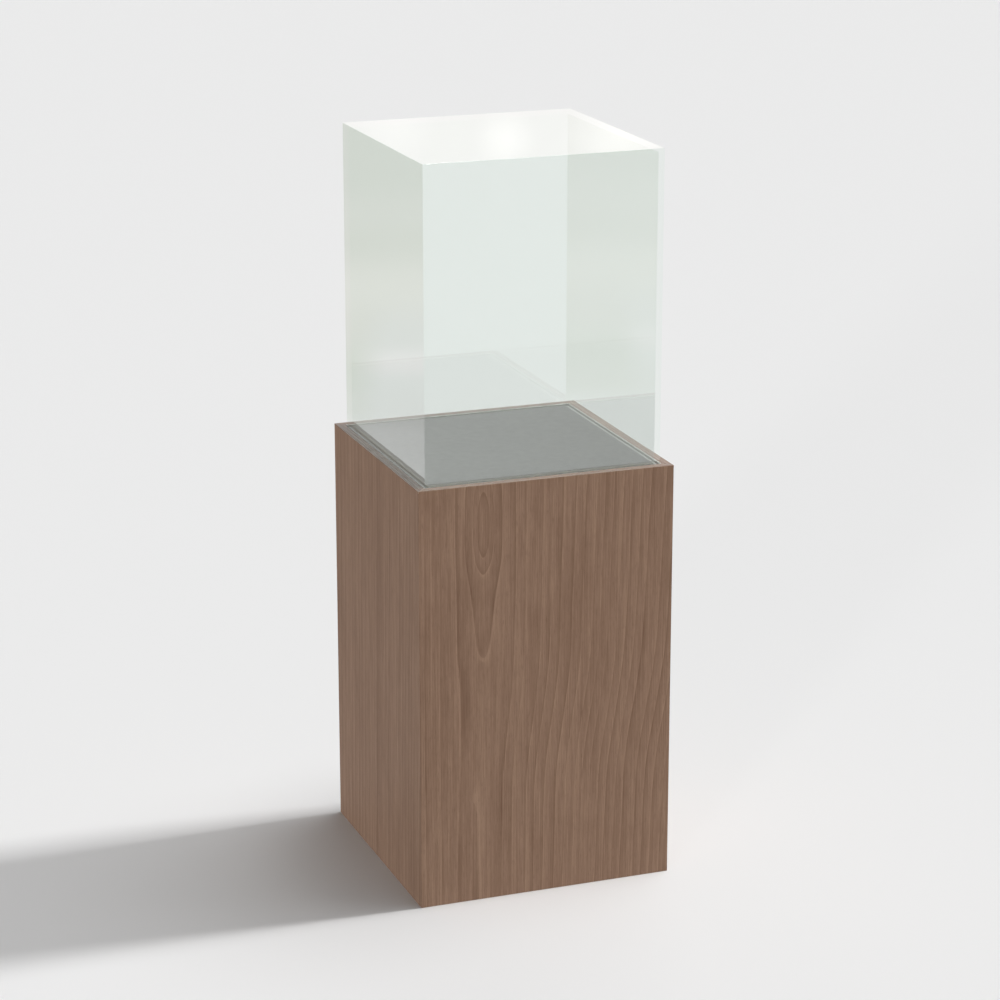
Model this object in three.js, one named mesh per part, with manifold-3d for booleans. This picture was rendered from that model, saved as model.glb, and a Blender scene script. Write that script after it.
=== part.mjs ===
// Free-standing glass display cabinet: a square walnut plinth that carries a lift-off glass hood.
// Millimetres, +Z up. The origin is the middle of the footprint at floor level, and the front faces -Y.
import * as THREE from "three";
import { mergeVertices } from "three/addons/utils/BufferGeometryUtils.js";
import Module from "manifold-3d";

const wasm = await Module();
wasm.setup();

// Plinth: four veneered boards mitred into a box, with a solid lipping on their top edges.
const plinthWidth = 400;
const plinthDepth = 400;
const plinthHeight = 650;
const boardThickness = 15;
const lippingHeight = 3;
const glueLine = 0.2;

// Softwood frame inside the plinth: a post in each corner, and battens between the posts.
const postSize = 25;
const battenThickness = 20;
const deckBattenHeight = 30;
const baseBattenHeight = 20;

// Deck: a structural board on the battens, and a smaller grey display panel on that.
const deckThickness = 15;
const displayPanelThickness = 4;
const boardFit = 0.3;

// Base board that the levelling feet screw into.
const baseThickness = 15;
const baseHeight = 35;

// Hood: five panes with bonded mitres, standing in the channel round the display panel.
const hoodHeight = 475;
const glassThickness = 6.8;
const hoodClearance = 0.5;
const displayPanelClearance = 0.7;

// Seat strips: soft strips on the floor of the channel, under the edges of the glass.
const seatStripHeight = 1;
const seatStripWidth = 6;

// Levelling feet: a nylon pad on a steel stud, in a flanged nut let into the base board.
const footInset = 45;
const padRadius = 16;
const padNeckRadius = 11;
const padRimHeight = 3;
const padHeight = 8;
const padSocketDepth = 4;
const studRadius = 4;
const studLength = 66;
const studChamfer = 0.8;
const collarAcrossFlats = 13;
const collarHeight = 5;
const collarGap = 0.3;
const threadClearance = 0.3;
const nutFlangeRadius = 11;
const nutFlangeThickness = 1.5;
const nutWall = 0.9;
const nutFit = 0.3;
const nutLength = 12;

// Screws that hold the deck board down on its battens.
const screwsPerBatten = 2;
const screwSpacing = 180;
const screwRadius = 2;
const screwHeadRadius = 4;
const screwHeadCrownRadius = 2.4;
const screwHeadHeight = 2.4;
const screwDepthInDeck = 11;
const screwPointLength = 4;
const screwClearance = 0.3;
const screwTipClearance = 1;

// Facets round turned pieces and holes.
const roundSegments = 32;
const smallSegments = 20;
const collarSides = 6;

// Levels and reaches that follow from the sizes above.
const displayLevel = plinthHeight;
const deckTop = displayLevel - displayPanelThickness;
const deckUnderside = deckTop - deckThickness;
const baseTop = baseHeight + baseThickness;
const hoodBottom = deckTop + seatStripHeight;
const hoodInset = boardThickness + hoodClearance;
const displayInset = hoodInset + glassThickness + displayPanelClearance;
const battenRun = boardThickness + postSize;

// Each side's pieces are drawn as the front's, with -Y outward, and turned about Z into place.
const quarterTurn = Math.PI / 2;
const sides = [
  { name: "front", turn: 0, span: plinthWidth, reach: plinthDepth / 2 },
  { name: "right", turn: quarterTurn, span: plinthDepth, reach: plinthWidth / 2 },
  { name: "back", turn: 2 * quarterTurn, span: plinthWidth, reach: plinthDepth / 2 },
  { name: "left", turn: 3 * quarterTurn, span: plinthDepth, reach: plinthWidth / 2 },
];
const corners = [
  { name: "front_left", x: -1, y: -1 },
  { name: "front_right", x: 1, y: -1 },
  { name: "back_right", x: 1, y: 1 },
  { name: "back_left", x: -1, y: 1 },
];

const walnut = { color: 0x6b4a38, roughness: 0.5, metalness: 0 };
const walnutLipping = { color: 0x8a6c58, roughness: 0.5, metalness: 0 };
const softwood = { color: 0xc9a878, roughness: 0.8, metalness: 0 };
const plywood = { color: 0xb89a72, roughness: 0.8, metalness: 0 };
const greyPanel = { color: 0x8f928f, roughness: 0.65, metalness: 0 };
const seatFoam = { color: 0x8a8c8a, roughness: 0.9, metalness: 0 };
const glass = { color: 0xd4ecdf, roughness: 0.02, metalness: 0, transparent: true, opacity: 0.3 };
const zincSteel = { color: 0xb4b6b8, roughness: 0.35, metalness: 1 };
const nylon = { color: 0x2a2a2a, roughness: 0.6, metalness: 0 };

function part(name, geometry, finish) {
  const mesh = new THREE.Mesh(geometry, new THREE.MeshStandardMaterial(finish));
  mesh.name = name;
  return mesh;
}

// A flat piece standing on edge, its outer face towards -Y. At each mitred edge its inner face is
// shorter by one thickness, and both faces stand back by half of the glue line.
function mitredSlab(width, height, thickness, mitred) {
  const standBack = glueLine / Math.SQRT2;
  const geometry = new THREE.BoxGeometry(width, thickness, height);
  const corner = geometry.attributes.position;
  for (let i = 0; i < corner.count; i += 1) {
    const inward = corner.getY(i) > 0 ? thickness : 0;
    const x = corner.getX(i);
    const z = corner.getZ(i);
    const mitredHere = z > 0 ? mitred.top : mitred.bottom;
    corner.setX(i, x - Math.sign(x) * (standBack + inward));
    corner.setZ(i, mitredHere ? z - Math.sign(z) * (standBack + inward) : z);
  }
  geometry.computeVertexNormals();
  return geometry;
}

function toSolid(geometry) {
  const bare = geometry.clone();
  bare.deleteAttribute("normal");
  bare.deleteAttribute("uv");
  const merged = mergeVertices(bare);
  return new wasm.Manifold(
    new wasm.Mesh({
      numProp: 3,
      vertProperties: Float32Array.from(merged.attributes.position.array),
      triVerts: Uint32Array.from(merged.index.array),
    }),
  );
}

function toGeometry(solid) {
  const mesh = solid.getMesh();
  const geometry = new THREE.BufferGeometry();
  geometry.setAttribute("position", new THREE.BufferAttribute(mesh.vertProperties, 3));
  geometry.setIndex(new THREE.BufferAttribute(mesh.triVerts, 1));
  geometry.computeVertexNormals();
  return geometry;
}

// Takes upright round holes out of a piece. Each hole has its centre, its radius, and its two ends.
function drilled(geometry, holes) {
  let solid = toSolid(geometry);
  for (const hole of holes) {
    const drill = new THREE.CylinderGeometry(
      hole.radius, hole.radius, hole.top - hole.bottom, smallSegments,
    );
    drill.rotateX(quarterTurn);
    drill.translate(hole.x, hole.y, (hole.top + hole.bottom) / 2);
    solid = solid.subtract(toSolid(drill));
  }
  return toGeometry(solid);
}

// A turned piece about Z, from its outline as [radius, height] pairs.
function turned(outline, segments) {
  const points = outline.map(([radius, height]) => new THREE.Vector2(radius, height));
  const geometry = new THREE.LatheGeometry(points, segments);
  geometry.rotateX(quarterTurn);
  return geometry;
}

function sideGroup(side) {
  const group = new THREE.Group();
  group.rotation.z = side.turn;
  return group;
}

// The veneered boards stand on the floor, and the lippings cap their top edges.
function plinthSide(side) {
  const group = sideGroup(side);
  const boardHeight = plinthHeight - lippingHeight;
  const board = part(
    `${side.name}_panel`, mitredSlab(side.span, boardHeight, boardThickness, {}), walnut,
  );
  board.position.set(0, boardThickness / 2 - side.reach, boardHeight / 2);
  const lipping = part(
    `top_lipping_${side.name}`,
    mitredSlab(side.span, lippingHeight, boardThickness, {}),
    walnutLipping,
  );
  lipping.position.set(0, boardThickness / 2 - side.reach, plinthHeight - lippingHeight / 2);
  group.add(board, lipping);
  return group;
}

function screwPlaces() {
  const places = [];
  for (let i = 0; i < screwsPerBatten; i += 1) {
    places.push((i - (screwsPerBatten - 1) / 2) * screwSpacing);
  }
  return places;
}

// Battens between the posts: one row under the deck board, and one on top of the base board.
function battens(side) {
  const group = sideGroup(side);
  const length = side.span - 2 * battenRun;
  const y = boardThickness + battenThickness / 2 - side.reach;
  const holes = screwPlaces().map((x) => ({
    x,
    y: 0,
    radius: screwRadius + screwClearance,
    bottom: -deckBattenHeight,
    top: deckBattenHeight,
  }));
  const deckBatten = part(
    `deck_batten_${side.name}`,
    drilled(new THREE.BoxGeometry(length, battenThickness, deckBattenHeight), holes),
    softwood,
  );
  deckBatten.position.set(0, y, deckUnderside - deckBattenHeight / 2);
  const baseBatten = part(
    `base_batten_${side.name}`,
    new THREE.BoxGeometry(length, battenThickness, baseBattenHeight),
    softwood,
  );
  baseBatten.position.set(0, y, baseTop + baseBattenHeight / 2);
  group.add(deckBatten, baseBatten);
  return group;
}

// The screws go up through the deck battens, heads below, and their points end in the deck board.
function deckScrews(side) {
  const group = sideGroup(side);
  const headTop = deckUnderside - deckBattenHeight;
  const tip = deckUnderside + screwDepthInDeck - headTop;
  const outline = [
    [0, -screwHeadHeight],
    [screwHeadCrownRadius, -screwHeadHeight],
    [screwHeadRadius, -screwHeadHeight / 2],
    [screwHeadRadius, 0],
    [screwRadius, 0],
    [screwRadius, tip - screwPointLength],
    [0, tip],
  ];
  screwPlaces().forEach((x, i) => {
    const screw = part(
      `deck_screw_${side.name}_${i + 1}`, turned(outline, smallSegments), zincSteel,
    );
    screw.position.set(x, boardThickness + battenThickness / 2 - side.reach, headTop);
    group.add(screw);
  });
  return group;
}

// Corner posts stand on the base board and carry the corners of the deck board.
function cornerPost(corner) {
  const height = deckUnderside - baseTop;
  const inset = boardThickness + postSize / 2;
  const post = part(
    `corner_post_${corner.name}`, new THREE.BoxGeometry(postSize, postSize, height), softwood,
  );
  post.position.set(
    corner.x * (plinthWidth / 2 - inset),
    corner.y * (plinthDepth / 2 - inset),
    baseTop + height / 2,
  );
  return post;
}

function footPlace(corner) {
  return {
    x: corner.x * (plinthWidth / 2 - boardThickness - footInset),
    y: corner.y * (plinthDepth / 2 - boardThickness - footInset),
  };
}

// The base board fits between the boards, with a hole for each flanged nut.
function baseBoard() {
  const inset = boardThickness + boardFit;
  const holes = corners.map((corner) => ({
    ...footPlace(corner),
    radius: studRadius + threadClearance + nutWall + nutFit,
    bottom: -baseThickness,
    top: baseThickness,
  }));
  const board = part(
    "base_board",
    drilled(
      new THREE.BoxGeometry(plinthWidth - 2 * inset, plinthDepth - 2 * inset, baseThickness),
      holes,
    ),
    plywood,
  );
  board.position.z = baseHeight + baseThickness / 2;
  return board;
}

// The deck board lies on the battens and posts, with a blind hole for each screw point.
function deckBoard() {
  const inset = boardThickness + boardFit;
  const holes = [];
  for (const side of sides) {
    const out = side.reach - boardThickness - battenThickness / 2;
    for (const along of screwPlaces()) {
      holes.push({
        x: along * Math.cos(side.turn) + out * Math.sin(side.turn),
        y: along * Math.sin(side.turn) - out * Math.cos(side.turn),
        radius: screwRadius + screwClearance,
        bottom: -deckThickness,
        top: screwDepthInDeck + screwTipClearance - deckThickness / 2,
      });
    }
  }
  const board = part(
    "deck_board",
    drilled(
      new THREE.BoxGeometry(plinthWidth - 2 * inset, plinthDepth - 2 * inset, deckThickness),
      holes,
    ),
    plywood,
  );
  board.position.z = deckTop - deckThickness / 2;
  return board;
}

// The display panel is flush with the lippings. The channel round it locates the hood.
function displayPanel() {
  const panel = part(
    "display_panel",
    new THREE.BoxGeometry(
      plinthWidth - 2 * displayInset, plinthDepth - 2 * displayInset, displayPanelThickness,
    ),
    greyPanel,
  );
  panel.position.z = displayLevel - displayPanelThickness / 2;
  return panel;
}

// One seat strip runs under the middle of each pane's lower edge, mitred at the corners.
function seatStrip(side) {
  const group = sideGroup(side);
  const inset = hoodInset + (glassThickness - seatStripWidth) / 2;
  const strip = part(
    `seat_strip_${side.name}`,
    mitredSlab(side.span - 2 * inset, seatStripHeight, seatStripWidth, {}),
    seatFoam,
  );
  strip.position.set(0, inset + seatStripWidth / 2 - side.reach, deckTop + seatStripHeight / 2);
  group.add(strip);
  return group;
}

// The flanged nut is pressed up into the base board, so that the foot's load bears on its flange.
function footNut(corner) {
  const bore = studRadius + threadClearance;
  const sleeve = bore + nutWall;
  const outline = [
    [bore, -nutFlangeThickness],
    [nutFlangeRadius, -nutFlangeThickness],
    [nutFlangeRadius, 0],
    [sleeve, 0],
    [sleeve, nutLength],
    [bore, nutLength],
    [bore, -nutFlangeThickness],
  ];
  const nut = part(`foot_nut_${corner.name}`, turned(outline, roundSegments), zincSteel);
  const place = footPlace(corner);
  nut.position.set(place.x, place.y, baseHeight);
  return nut;
}

// A dished pad with a socket for the end of its stud.
function footPad(corner) {
  const socket = studRadius + threadClearance;
  const outline = [
    [0, 0],
    [padRadius, 0],
    [padRadius, padRimHeight],
    [padNeckRadius, padHeight],
    [socket, padHeight],
    [socket, padHeight - padSocketDepth],
    [0, padHeight - padSocketDepth],
  ];
  const pad = part(`foot_pad_${corner.name}`, turned(outline, roundSegments), nylon);
  const place = footPlace(corner);
  pad.position.set(place.x, place.y, 0);
  return pad;
}

// The stud has a six-sided collar just above the pad, for the spanner that levels the plinth.
function footStud(corner) {
  const outline = [
    [0, 0],
    [studRadius - studChamfer, 0],
    [studRadius, studChamfer],
    [studRadius, studLength - studChamfer],
    [studRadius - studChamfer, studLength],
    [0, studLength],
  ];
  const collarRadius = collarAcrossFlats / 2 / Math.cos(Math.PI / collarSides);
  const collar = new THREE.CylinderGeometry(collarRadius, collarRadius, collarHeight, collarSides);
  collar.rotateX(quarterTurn);
  collar.translate(0, 0, padSocketDepth + collarGap + collarHeight / 2);
  const stud = part(
    `foot_stud_${corner.name}`,
    toGeometry(toSolid(turned(outline, smallSegments)).add(toSolid(collar))),
    zincSteel,
  );
  const place = footPlace(corner);
  stud.position.set(place.x, place.y, padHeight - padSocketDepth);
  return stud;
}

// Each wall of the hood is mitred to its neighbours and to the top pane, and square at its foot.
function hoodWall(side) {
  const group = sideGroup(side);
  const pane = part(
    `pane_${side.name}`,
    mitredSlab(side.span - 2 * hoodInset, hoodHeight, glassThickness, { top: true }),
    glass,
  );
  pane.position.set(0, hoodInset + glassThickness / 2 - side.reach, hoodBottom + hoodHeight / 2);
  group.add(pane);
  return group;
}

function hoodTop() {
  const pane = part(
    "pane_top",
    mitredSlab(
      plinthWidth - 2 * hoodInset,
      plinthDepth - 2 * hoodInset,
      glassThickness,
      { top: true, bottom: true },
    ),
    glass,
  );
  pane.rotation.x = -quarterTurn;
  pane.position.z = hoodBottom + hoodHeight - glassThickness / 2;
  return pane;
}

const plinth = new THREE.Group();
plinth.add(
  ...sides.map(plinthSide),
  ...corners.map(cornerPost),
  ...sides.map(battens),
  baseBoard(),
  deckBoard(),
  displayPanel(),
  ...sides.map(deckScrews),
  ...sides.map(seatStrip),
  ...corners.map(footNut),
);

const feet = new THREE.Group();
for (const corner of corners) {
  feet.add(footPad(corner), footStud(corner));
}

const hood = new THREE.Group();
hood.add(...sides.map(hoodWall), hoodTop());

const cabinet = new THREE.Group();
cabinet.add(plinth, feet, hood);

export default cabinet;
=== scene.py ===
# Free-standing glass display cabinet: a square walnut plinth that carries a lift-off glass hood.
# Metres, +Z up. The origin is the middle of the footprint at floor level, and the front faces -Y.
import math

import bmesh
import bpy
from mathutils import Matrix, Vector


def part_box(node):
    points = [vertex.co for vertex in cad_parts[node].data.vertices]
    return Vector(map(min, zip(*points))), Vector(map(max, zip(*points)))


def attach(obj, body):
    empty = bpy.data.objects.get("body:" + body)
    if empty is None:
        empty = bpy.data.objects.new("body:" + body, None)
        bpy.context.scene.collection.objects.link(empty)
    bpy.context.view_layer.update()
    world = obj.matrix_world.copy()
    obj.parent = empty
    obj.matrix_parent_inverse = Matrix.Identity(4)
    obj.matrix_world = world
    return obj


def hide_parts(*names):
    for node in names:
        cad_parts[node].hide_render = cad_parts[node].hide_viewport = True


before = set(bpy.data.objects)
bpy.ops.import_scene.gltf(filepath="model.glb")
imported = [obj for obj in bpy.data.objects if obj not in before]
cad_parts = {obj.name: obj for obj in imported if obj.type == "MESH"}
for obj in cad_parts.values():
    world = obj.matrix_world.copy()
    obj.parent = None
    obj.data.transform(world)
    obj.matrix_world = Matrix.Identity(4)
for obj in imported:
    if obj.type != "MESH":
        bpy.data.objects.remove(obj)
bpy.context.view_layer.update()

# Camera: a visitor's eye height, in front of the cabinet and to its left. A long lens keeps the
# uprights nearly parallel. Its place, turn and lens come from the corners in the photograph.
camera_place = Vector((-1.5721, -4.2173, 1.9103))
camera_pitch = 0.2913
camera_yaw = -0.3568
focal_pixels = 3081.87
image_pixels = 1000
sensor_millimetres = 36

camera_data = bpy.data.cameras.new("camera")
camera_data.sensor_width = sensor_millimetres
camera_data.lens = focal_pixels / image_pixels * sensor_millimetres
camera = bpy.data.objects.new("camera", camera_data)
camera.location = camera_place
camera.rotation_euler = (math.pi / 2 - camera_pitch, 0, camera_yaw)
bpy.context.scene.collection.objects.link(camera)
bpy.context.scene.camera = camera
bpy.context.scene.view_settings.view_transform = "Standard"

# Studio light: a soft key lamp from the right, three softboxes overhead, and a low fill from the
# front left that lights the plinth's faces and hardly touches the floor. Each level is the share
# of a white surface's brightness that the lamp gives on the floor, and the fill's on a face.
fill_elevation = 1.0
fill_azimuth = 228.5
fill_spread = 6
fill_face_level = 0.93
# Each of the other lamps: its elevation, azimuth and spread in degrees, and its level.
floor_lamps = {
    "key_lamp": (40, -1.8, 7.3, 0.425),
    "overhead_softbox_1": (73.5, 5, 23, 0.225),
    "overhead_softbox_2": (84.5, -55, 17, 0.19),
    "overhead_softbox_3": (56, 58, 24, 0.055),
}


def towards(elevation, azimuth):
    """The direction that two angles in degrees give. Azimuth 0 is +X, and 90 is +Y."""
    elevation = math.radians(elevation)
    azimuth = math.radians(azimuth)
    level = math.cos(elevation)
    return Vector((level * math.cos(azimuth), level * math.sin(azimuth), math.sin(elevation)))


def far_lamp(name, elevation, azimuth, spread, strength):
    """A lamp so far away that its light falls evenly on the whole floor."""
    lamp = bpy.data.lights.new(name, "SUN")
    lamp.energy = strength * math.pi
    lamp.angle = math.radians(spread)
    made = bpy.data.objects.new(name, lamp)
    made.rotation_euler = towards(elevation, azimuth).to_track_quat("Z", "Y").to_euler()
    bpy.context.scene.collection.objects.link(made)
    return made


for name, (elevation, azimuth, spread, level) in floor_lamps.items():
    far_lamp(name, elevation, azimuth, spread, level / math.sin(math.radians(elevation)))
fill = far_lamp("fill_softbox", fill_elevation, fill_azimuth, fill_spread, fill_face_level)
fill.visible_glossy = False

# Room: plain pale walls that the camera sees as even grey. They give a little light from all round,
# and glass and lacquer mirror a brighter band of wall above the floor behind the cabinet.
room_level = 0.07
backdrop_level = 0.84
# The mirrored wall's level: each pair is the height of a direction, from -1 for straight down to 1
# for straight up, and the level there.
wall_band = (
    (-1.0, 0.84), (0.02, 0.86), (0.12, 0.98), (0.19, 1.05), (0.3, 1.2), (0.6, 0.9), (1.0, 0.8))
brightest_wall = 2.0
wall_tint = (1.0, 0.975, 0.955)
# Soft glows on the mirrored wall: azimuth, elevation and radius in degrees, and the level they add.
wall_glows = ((69.45, 10.03, 0.7, 0.15), (67.3, 10.0, 1.2, 0.19), (71.5, 9.8, 0.9, 0.07))


def add(tree, kind, inputs=(), **settings):
    """Adds one shader node. The inputs are pairs of a socket and its value, or what feeds it."""
    made = tree.nodes.new("ShaderNode" + kind)
    for setting, value in settings.items():
        setattr(made, setting, value)
    for socket, value in inputs:
        if isinstance(value, bpy.types.NodeSocket):
            tree.links.new(value, made.inputs[socket])
        else:
            made.inputs[socket].default_value = value
    return made


def calculate(tree, operation, *values):
    """One sum on numbers or node outputs, such as MULTIPLY or MAXIMUM."""
    made = add(tree, "Math", list(enumerate(values)), operation=operation)
    return made.outputs[0]


def ramp(tree, amount, stops, interpolation="LINEAR"):
    """A colour ramp. Each stop is a place from 0 to 1 and a grey level or a colour."""
    made = add(tree, "ValToRGB", [(0, amount)])
    band = made.color_ramp
    band.interpolation = interpolation
    while len(band.elements) > 1:
        band.elements.remove(band.elements[-1])
    for i, (place, tone) in enumerate(stops):
        stop = band.elements[0] if i == 0 else band.elements.new(place)
        stop.position = place
        colour = tone if isinstance(tone, tuple) else (tone, tone, tone)
        stop.color = (*colour, 1)
    return made.outputs[0]


def mixed(tree, amount, first, second):
    """Mixes two colours, or node outputs that carry colours."""
    first, second = (
        (*value, 1) if isinstance(value, tuple) else value for value in (first, second))
    return add(tree, "Mix", [(0, amount), (6, first), (7, second)], data_type="RGBA").outputs[2]


def faded(tree, amount, start, end, first, last, kind="SMOOTHSTEP"):
    """A level that goes from a first to a last one while an amount goes from start to end."""
    made = add(tree, "MapRange", [
        (0, amount), (1, start), (2, end), (3, first), (4, last)], interpolation_type=kind)
    return made.outputs[0]


room = bpy.data.worlds.new("studio")
room.use_nodes = True
room_tree = room.node_tree
room_tree.nodes.clear()
ray = add(room_tree, "LightPath")
heading = add(room_tree, "TexCoord").outputs["Generated"]
height = add(room_tree, "SeparateXYZ", [(0, heading)]).outputs[2]
height_share = calculate(room_tree, "MULTIPLY_ADD", height, 0.5, 0.5)
wall_stops = [((place + 1) / 2, level / brightest_wall) for place, level in wall_band]
mirrored_wall = calculate(
    room_tree, "MULTIPLY", ramp(room_tree, height_share, wall_stops), brightest_wall)
for azimuth, elevation, radius, level in wall_glows:
    glow_place = towards(elevation, azimuth)
    away = add(room_tree, "VectorMath", [(0, heading), (1, glow_place)],
               operation="DISTANCE").outputs["Value"]
    glow = faded(room_tree, away, 0.0, math.radians(radius), level, 0.0)
    mirrored_wall = calculate(room_tree, "ADD", mirrored_wall, glow)
seen_or_lighting = add(room_tree, "Mix", [
    (0, ray.outputs["Is Camera Ray"]), (2, room_level), (3, backdrop_level)]).outputs[0]
room_brightness = add(room_tree, "Mix", [
    (0, ray.outputs["Is Glossy Ray"]), (2, seen_or_lighting), (3, mirrored_wall)]).outputs[0]
room_colour = mixed(room_tree, ray.outputs["Is Glossy Ray"], (1, 1, 1), wall_tint)
room_light = add(room_tree, "Background", [(0, room_colour), (1, room_brightness)])
add(room_tree, "OutputWorld", [(0, room_light.outputs[0])])
bpy.context.scene.world = room

# Floor: smooth pale grey, as wide as the camera can see, so that it fills the background. It isn't
# part of the cabinet. Only in reflections is it painted darker beyond the cabinet, with soft bands
# across it: a painted reflection for the glass. The light that the floor sends back up is an even
# glow, as if nothing stood on it.
floor_half_width = 300
floor_grey = (0.84, 0.84, 0.84)
mirrored_heading = (-0.35, 0.94, 0)
mirrored_reach = 8.0
# The painted reflection's tones: each pair is how far away it lies in that heading, and its tone.
mirrored_near = ((-2.0, 0.89), (1.5, 0.84), (2.52, (0.79, 0.79, 0.785)))
mirrored_left = (
    (2.76, (0.64, 0.645, 0.625)), (3.02, (0.665, 0.675, 0.655)), (3.21, (0.82, 0.77, 0.77)),
    (3.46, (0.62, 0.615, 0.585)))
mirrored_right = (
    (2.76, (0.56, 0.575, 0.49)), (3.1, (0.50, 0.535, 0.43)), (3.55, (0.59, 0.575, 0.495)))
mirrored_far = (
    (4.1, (0.66, 0.64, 0.56)), (4.72, (0.505, 0.51, 0.42)), (5.1, (0.525, 0.527, 0.45)),
    (5.8, (0.455, 0.475, 0.39)))
# Across that heading, the left tones give way to the right ones between two places.
mirrored_across = (0.937, 0.349, 0)
last_left = -0.06
first_right = 0.03


def set_down(name, shape, *finishes):
    """Makes an object at the origin from a bmesh, with its finishes in slot order."""
    mesh = bpy.data.meshes.new(name)
    shape.to_mesh(mesh)
    shape.free()
    for finish in finishes:
        mesh.materials.append(finish)
    made = bpy.data.objects.new(name, mesh)
    bpy.context.scene.collection.objects.link(made)
    return made


def new_finish(name):
    """A bare material, its nodes, and the Object coordinates that its textures are drawn in."""
    finish = bpy.data.materials.new(name)
    finish.use_nodes = True
    tree = finish.node_tree
    tree.nodes.clear()
    return finish, tree, add(tree, "TexCoord").outputs["Object"]


floor_finish, floor_tree, where = new_finish("pale_floor")
ray = add(floor_tree, "LightPath")
beyond = add(floor_tree, "VectorMath", [(0, where), (1, mirrored_heading)],
             operation="DOT_PRODUCT").outputs["Value"]
beyond = calculate(floor_tree, "MULTIPLY_ADD", beyond, 0.5 / mirrored_reach, 0.5)
left_tone, right_tone = (
    ramp(floor_tree, beyond, [
        ((place / mirrored_reach + 1) / 2, tone)
        for place, tone in mirrored_near + middle_part + mirrored_far], "EASE")
    for middle_part in (mirrored_left, mirrored_right))
aside = add(floor_tree, "VectorMath", [(0, where), (1, mirrored_across)],
            operation="DOT_PRODUCT").outputs["Value"]
to_right = faded(floor_tree, aside, last_left, first_right, 0.0, 1.0, "LINEAR")
mirrored_tone = mixed(floor_tree, to_right, left_tone, right_tone)
# Reflections see the painted tones, and the camera and the lamps see plain grey.
floor_tone = mixed(floor_tree, ray.outputs["Is Glossy Ray"], floor_grey, mirrored_tone)
floor_shader = add(floor_tree, "BsdfDiffuse", [(0, floor_tone)])
even_glow = add(floor_tree, "Emission", [(0, (*floor_grey, 1)), (1, 1.0)])
floor_surface = add(floor_tree, "MixShader", [
    (0, ray.outputs["Is Diffuse Ray"]), (1, floor_shader.outputs[0]), (2, even_glow.outputs[0])])
add(floor_tree, "OutputMaterial", [(0, floor_surface.outputs[0])])
floor_shape = bmesh.new()
bmesh.ops.create_grid(floor_shape, x_segments=1, y_segments=1, size=floor_half_width)
floor = set_down("floor", floor_shape, floor_finish)

# Plinth boards: four 15 mm fibreboard panels, veneered on both faces with walnut whose grain runs
# upright, then mitred and glued into a box. The cut lower edges are bare, with their sharp corners
# taken off, so that they don't splinter on the floor.
sides = {"front": 0.0, "right": math.pi / 2, "back": math.pi, "left": 1.5 * math.pi}
veneer_thickness = 0.0006
board_arris = 0.0004
foot_arris = 0.0008
# How far off a face a corner may lie and still count as on it, and how far apart an edge's ends may
# lie across a board, as they do round an eased corner.
hair = 0.0001
corner_reach = 0.001
walnut_light = (0.292, 0.190, 0.133)
walnut_middle = (0.226, 0.141, 0.097)
walnut_dark = (0.147, 0.085, 0.056)
veneer_stops = ((0.12, walnut_light), (0.42, walnut_middle), (0.90, walnut_dark))
veneer_pore = (0.085, 0.046, 0.028)
fibreboard_dark = (0.29, 0.19, 0.11)
fibreboard_pale = (0.47, 0.34, 0.22)
millimetres = 1000
# Crown figure, in millimetres: how deep each height's slice lies under the growth line that it
# would meet at the crown's middle, and how far out the rings' dark edges lie on each side of it.
crown_depth = (
    (0, 27.5), (80, 28.5), (158, 30), (200, 33), (260, 35), (362, 34), (385, 30), (465, 24.5),
    (514, 17), (545, 9), (590, 3.5), (628, 8), (650, 12.5))
crown_rings_left = (
    10, 17, 30, 44, 68, 80, 92, 107, 121, 138, 150, 167, 185, 204, 243, 254, 268, 283, 301, 318,
    332, 351, 367, 385, 402, 420)
crown_rings_right = (
    10, 17, 30, 51, 68, 94, 109, 126, 146, 162, 179, 192, 206, 222, 236, 252, 266, 290, 306, 322,
    341, 357, 375, 392, 420)
crown_reach = 420
# How far aside the crown's depth begins to fade, and where it is gone.
crown_fade = (20.0, 65.0)
# How far the growth lines wander from side to side, in how many waves a metre, and how much closer
# together those on the right lie at the foot.
line_wander = 7.0
wander_waves = (14, 14, 4.2)
foot_crowding = 0.13
# Between which shares of the height the lines on the left, and those on the right, drift aside.
drift_spans = ((1.1, -0.2), (0.6, 0.25))
# From here on to the right, the dark edge of each ring lies towards the crown.
turned_beyond = 58.0
# Across each ring, from its early side to its late one: how dark the late wood is, how pale the
# early wood, and how dark a streak.
late_wood = ((0.0, 0.0), (0.45, 0.08), (0.82, 0.36), (0.955, 1.0), (1.0, 0.6))
palest_ring = 0.5
darkest_ring = 1.2
early_wood = ((0.0, 0.6), (0.045, 1.0), (0.11, 0.35), (0.28, 0.0))
dark_streak = ((0.0, 0.15), (0.45, 0.6), (0.96, 1.0), (1.0, 0.5))
# Where slow noise lets the late and the early wood show, and where fine noise is a pore.
late_waves = (30, 30, 3.5)
late_shows = ((0.36, 0.3), (0.52, 1.0))
early_waves = (90, 90, 8)
early_shows = ((0.38, 0.2), (0.62, 1.0))
pore_waves = (1900, 1900, 85)
pore_shows = ((0.60, 0.0), (0.70, 1.0))
# The veneer's tone, from 0 for light to 1 for dark, and what darkens it.
veneer_tone = 0.36
late_weight = 0.30
early_weight = -0.24
streak_weight = 0.5
pore_share = 0.30
# The lacquer's roughness, between the fibres and on them.
veneer_roughness = (0.50, 0.62)
matt_shine = 0.04
# Layers of noise on top: waves a metre along X, Y and Z, start, detail, roughness and weight.
veneer_layers = (
    ((640, 640, 7), 0, 3.0, 0.65, 0.92),
    ((1300, 1300, 34), 3, 2.0, 0.5, 0.50),
    ((22, 22, 4.5), 0, 3.0, 0.5, 0.28),
    ((60, 60, 26), 7, 2.0, 0.5, 0.16),
)
fibreboard_tone = 0.55
fibreboard_layers = ((900, 0, 4.0, 0.7, 0.6), (60, 0, 2.0, 0.5, 0.5))
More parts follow.
